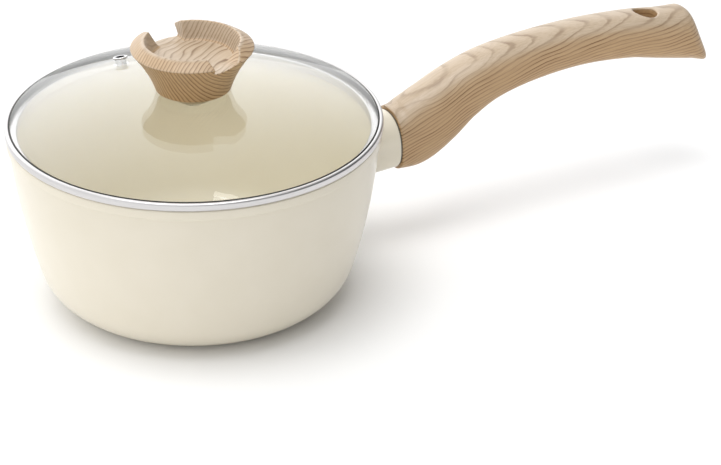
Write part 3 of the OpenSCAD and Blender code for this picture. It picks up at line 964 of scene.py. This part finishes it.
def make_rim_gasket():
    """Seal under the lip, with a bead up to the dome's edge. The seal is near black as painted shade of the
    gap under the lip, and it is pale where it meets the glass as painted light seen through the glass's
    edge.
    """
    low, high = node_box("rim_gasket")
    under_lip = BAND_TOP - RIM_SHEET - 0.01
    beside_lip = LIP_R - 0.02
    start = (high[1] - 1, low[2], 0)
    corners = [
        start,
        (high[1], low[2], 0.08),
        (high[1], under_lip, 0.08),
        (beside_lip, under_lip, 0),
        (beside_lip, BAND_TOP - 0.05, 0.1),
        (DOME_EDGE_R + 0.06, high[2], 0.12),
        (SHOULDER_R + 0.05, low[2], 0.05),
        start,
    ]
    points, faces = revolve(rounded(corners, 4)[:-1], closed=True)
    gasket = piece("rim_gasket", points, faces, SEAL_PAINTED_SHADE, "lid", "rim_gasket")
    gasket.data.materials.append(SEAL_PAINTED_LIGHT)
    # Faces that touch the glass take the painted light
    for face in gasket.data.polygons:
        outwards = Vector((face.center.x, face.center.y, 0)).normalized()
        faces_the_glass = face.normal.dot(outwards) < -0.5
        if faces_the_glass:
            face.material_index = 1
    return gasket


def vent_place():
    """Where the vent is: turned round the lid, then out along the dome."""
    lean = math.asin(VENT_X / DOME_SPHERE_R)
    return (Matrix.Rotation(VENT_TURN, 4, "Z") @ Matrix.Translation((0, 0, DOME_CENTRE_Z))
            @ Matrix.Rotation(lean, 4, "Y") @ Matrix.Translation((0, 0, DOME_SPHERE_R)))


def placed(points, matrix):
    """Points moved by a matrix."""
    return [tuple(matrix @ Vector(p)) for p in points]


def make_glass():
    """Domed glass with a flat edge in the rim, a middle hole for the knob's screw and the vent's hole."""
    edge_turn = math.acos(DOME_EDGE_R / DOME_SPHERE_R)
    inner_r = GLASS_R - GLASS_EDGE_W
    under_r = DOME_SPHERE_R - GLASS_T
    bevel = 0.3
    hole_top = math.acos((GLASS_HOLE_R + bevel) / DOME_SPHERE_R)
    hole_under = math.acos((GLASS_HOLE_R + bevel) / under_r)
    hole_z = DOME_CENTRE_Z + DOME_SPHERE_R * math.sin(hole_top)
    profile = [(GLASS_HOLE_R, hole_z - GLASS_T + bevel), (GLASS_HOLE_R, hole_z - bevel)]
    profile += arc(0, DOME_CENTRE_Z, DOME_SPHERE_R, hole_top, edge_turn, 40)
    profile += rounded([
        (DOME_EDGE_R, DOME_EDGE_Z, 0),
        (SHOULDER_R, GLASS_EDGE_TOP, 0),
        (GLASS_R, GLASS_EDGE_TOP, 0.6),
        (GLASS_R, GLASS_EDGE_LOW, 0.6),
        (inner_r, GLASS_EDGE_LOW, 0.4),
    ], 4)[1:]
    profile += arc(0, DOME_CENTRE_Z, under_r, math.acos(inner_r / under_r), hole_under, 40)
    points, faces = revolve(profile, closed=True)
    glass = piece("lid_glass", points, faces, GLASS, "lid", "lid_glass")
    reach = 8
    hole = [(0, -reach), (VENT_HOLE_R, -reach), (VENT_HOLE_R, reach), (0, reach)]
    points, faces = revolve(hole, segments=64)
    cut(glass, placed(points, vent_place()), faces)
    glass.data.set_sharp_from_angle(angle=math.radians(SHARP_ANGLE))
    return glass


def make_eyelet():
    """Metal eyelet with a flange above and below the glass, and a bore coloured near black as painted
    shade.
    """
    bore = EYELET_BORE_R
    out = EYELET_FLANGE_R
    neck = VENT_HOLE_R - 0.05
    lift = 0.1
    top = lift + EYELET_T
    low = -GLASS_T - lift - EYELET_T
    start = (bore, (top + low) / 2, 0)
    corners = [
        start,
        (bore, low, 0.3),
        (out, low, 0.15),
        (out, low + EYELET_T, 0.15),
        (neck, low + EYELET_T, 0),
        (neck, lift, 0),
        (out, lift, 0.1),
        (out, top, 0.25),
        (bore, top, 0.35),
        start,
    ]
    points, faces = revolve(rounded(corners, 5)[:-1], closed=True, segments=96)
    points = placed(points, vent_place())
    eyelet = piece("vent_eyelet", points, faces, STEEL, "lid", "vent_eyelet")
    eyelet.data.materials.append(BORE_PAINTED_SHADE)
    # Faces inside the bore take the painted shade
    back = vent_place().inverted()
    for face in eyelet.data.polygons:
        x, y, _ = back @ (face.center / MM)
        if math.hypot(x, y) < bore + 0.25:
            face.material_index = 1
    return eyelet


def across_knob(x, y, z, turn, climb):
    """Places along, to the left of and above a channel's floor that runs outwards and climbs."""
    c, s = math.cos(turn), math.sin(turn)
    ahead = x * c + y * s
    up = (z - BOWL_H) * math.cos(climb) - ahead * math.sin(climb)
    return ahead, y * c - x * s, up


def narrow_end(x, y, z):
    """Field of the channel's narrow end, steep on one side and open on the other."""
    ahead, left, up = across_knob(x, y, z, CHANNEL_TURN, CHANNEL_CLIMB)
    open_side = (left - CHANNEL_W / 2) * math.cos(CHANNEL_LEAN) - up * math.sin(CHANNEL_LEAN)
    steep_side = (-left - CHANNEL_W / 2) * math.cos(CHANNEL_DRAFT) - up * math.sin(CHANNEL_DRAFT)
    return np.maximum(smooth_max(np.maximum(open_side, steep_side), -up, CHANNEL_FILLET), -ahead)


def wide_end(x, y, z):
    """Field of the channel's wide end: a scoop that is cut off by a steep side."""
    ahead, left, up = across_knob(x, y, z, CHANNEL_TURN + math.pi, SCOOP_CLIMB)
    scoop = np.sqrt((left + SCOOP_SIDE + SCOOP_SHIFT) ** 2 + (up - SCOOP_R) ** 2) - SCOOP_R
    steep_side = (-left - SCOOP_SIDE) * math.cos(SCOOP_DRAFT) - up * math.sin(SCOOP_DRAFT)
    return np.maximum(smooth_max(scoop, steep_side, SCOOP_FILLET), -ahead)


def knob_field(x, y, z):
    """Field of the knob: flared foot, chamfer, bowl, and the channel across it."""
    z = z - KNOB_Z
    r = np.sqrt(x**2 + y**2)
    u = np.clip((z - 0.6) / (FLARE_H - 1.1), 0, 1.2)
    flank_r = FOOT_R + (FLARE_R - FOOT_R) * ((1 - FLANK_BOW) * u + FLANK_BOW * u * u)
    flank = (r - flank_r) * FLANK_SQUARE
    chamfer_slope = (FLARE_R - CREST_R - 0.5) / (CREST_H - 0.1 - FLARE_H)
    chamfer = (r - FLARE_R + (z - FLARE_H) * chamfer_slope) / math.hypot(1, chamfer_slope)
    outer = smooth_max(flank, chamfer, CHAMFER_ROUND)
    outer = smooth_max(outer, z - CREST_H, CREST_ROUND)
    outer = smooth_max(outer, -z, EDGE_ROUND)
    climb = np.clip((z - BOWL_H) / (CREST_H - BOWL_H), -0.5, 1.5)
    bowl_wall = (r - BOWL_R - (CREST_R - 0.6 - BOWL_R) * climb) * BOWL_SQUARE
    bowl_floor = BOWL_H - BOWL_SAG * (1 - r / BOWL_R) - z
    bowl = smooth_max(bowl_wall, bowl_floor, BOWL_FILLET)
    channel = np.minimum(narrow_end(x, y, z), wide_end(x, y, z))
    hole = np.maximum(r - INSERT_R - 0.02, z - INSERT_LEN - 0.3)
    solid = smooth_max(outer, -bowl, EDGE_ROUND)
    solid = smooth_max(solid, -channel, EDGE_ROUND)
    return np.maximum(solid, -hole)


def make_knob():
    """The knob, as a mesh of its field."""
    points, faces = skin(knob_field, KNOB_LOW, KNOB_HIGH, KNOB_MESH_STEP)
    return piece("knob", points, faces, KNOB_WOOD, "lid", "knob", WOOD_SHARP_ANGLE)


# ---------------------------------------------------------------- nodes that stay as they are


def dress_node(node, material):
    """A CAD node that is shown as it is, with a finished material."""
    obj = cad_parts[node]
    obj.data.materials.clear()
    obj.data.materials.append(material)


def dress_nodes():
    dress_node("induction_plate", BRUSHED)
    for node in ("handle_bracket", "handle_screw", "spring_washer", "knob_washer", "knob_screw"):
        dress_node(node, STEEL)
    for node in ("seal_upper", "seal_lower"):
        dress_node(node, SILICONE)
    dress_node("guard_gasket", SEAM_SEAL)
    dress_node("knob_insert", BRASS)


# ---------------------------------------------------------------- room, light and camera


FLOOR_REACH = 6.0
FLOOR_STOPS = [(0.3, (0.93, 0.93, 0.93)), (0.7, (0.95, 0.95, 0.95))]


def make_floor():
    """Matt white floor, wide enough that its edge is out of view."""
    look = Look("floor", Roughness=0.9, Specular_IOR_Level=0.1)
    look.colour(look.ramp(look.noise(look.place(), 3, detail=1), FLOOR_STOPS))
    mesh = bpy.data.meshes.new("floor")
    square = [(FLOOR_REACH * x, FLOOR_REACH * y, 0) for x, y in ((-1, -1), (1, -1), (1, 1), (-1, 1))]
    mesh.from_pydata(square, [], [(0, 1, 2, 3)])
    floor = bpy.data.objects.new("floor", mesh)
    bpy.context.scene.collection.objects.link(floor)
    mesh.materials.append(look.material)


def make_light(name, place, target, width, height, power):
    """A rectangular lamp that looks at its target."""
    data = bpy.data.lights.new(name, "AREA")
    data.shape = "RECTANGLE"
    data.size, data.size_y = width, height
    data.energy = power
    light = bpy.data.objects.new(name, data)
    light.location = place
    light.rotation_mode = "QUATERNION"
    light.rotation_quaternion = (Vector(target) - Vector(place)).to_track_quat("-Z", "Y")
    bpy.context.scene.collection.objects.link(light)


# Where the camera is from the pan's axis and base, in metres, and how it is turned
CAMERA_BACK = 1.4492
CAMERA_UP = 0.7974
CAMERA_PITCH = math.radians(27.915)
CAMERA_YAW = math.radians(3.299)
CAMERA_LENS = 160.0


def make_camera():
    data = bpy.data.cameras.new("camera")
    data.lens = CAMERA_LENS
    data.sensor_width = 36.0
    data.clip_start, data.clip_end = 0.05, 50
    camera = bpy.data.objects.new("camera", data)
    camera.location = in_view(0, -CAMERA_BACK, CAMERA_UP)
    level = math.cos(CAMERA_PITCH)
    ahead = in_view(math.sin(CAMERA_YAW) * level, math.cos(CAMERA_YAW) * level, -math.sin(CAMERA_PITCH))
    camera.rotation_mode = "QUATERNION"
    camera.rotation_quaternion = Vector(ahead).to_track_quat("-Z", "Y")
    bpy.context.scene.collection.objects.link(camera)
    bpy.context.scene.camera = camera


# Each glow of the surroundings: its axis as seen from the camera, where it starts and where it is full
# along that axis, and its strength at both
WORLD_GLOW = [
    ((-0.9, -0.1, 0.35), -0.9, 0.9, 0.07, 1.17),
    ((-0.25, 0.95, 0.15), 0.55, 1.0, 0.0, 1.35),
]
WORLD_COLOUR = (0.985, 0.992, 1, 1)


def make_world():
    """Soft white surroundings, brighter towards the upper left of the view and behind the pan."""
    world = bpy.data.worlds.new("studio")
    world.use_nodes = True
    nodes, links = world.node_tree.nodes, world.node_tree.links
    both = nodes.new("ShaderNodeMath")
    for index, (axis, low, high, dim, bright) in enumerate(WORLD_GLOW):
        towards = nodes.new("ShaderNodeVectorMath")
        towards.operation = "DOT_PRODUCT"
        towards.inputs[1].default_value = Vector(in_view(*axis)).normalized()
        links.new(nodes.new("ShaderNodeTexCoord").outputs["Generated"], towards.inputs[0])
        strength = nodes.new("ShaderNodeMapRange")
        strength.interpolation_type = "SMOOTHSTEP"
        for socket, value in (("From Min", low), ("From Max", high), ("To Min", dim), ("To Max", bright)):
            strength.inputs[socket].default_value = value
        links.new(towards.outputs["Value"], strength.inputs["Value"])
        links.new(strength.outputs[0], both.inputs[index])
    links.new(both.outputs[0], nodes["Background"].inputs["Strength"])
    nodes["Background"].inputs["Color"].default_value = WORLD_COLOUR
    bpy.context.scene.world = world


# Each lamp: name, place and target as seen from the camera, width and height in metres, power in watts
LAMPS = [
    ("top", (-0.02, -0.2, 1.6), (0.05, 0, 0.06), 0.95, 0.75, 11),
    ("spark", (0.19, 0.68, 1.85), (0, 0, 0.1), 0.17, 0.05, 0.09),
]


def make_lights():
    for name, place, target, width, height, power in LAMPS:
        make_light(name, in_view(*place), in_view(*target), width, height, power)


def set_view():
    scene = bpy.context.scene
    scene.view_settings.view_transform = "Standard"
    scene.view_settings.look = "None"
    scene.cycles.use_denoising = True


def corners(bounds):
    """Lowest and highest corner of a box as plain lists."""
    return [list(bounds[0]), list(bounds[1])]


make_pan()
make_guard()
make_grip()
make_lid_rim()
make_rim_gasket()
make_glass()
make_eyelet()
make_knob()
dress_nodes()
make_floor()
make_world()
make_lights()
make_camera()
set_view()
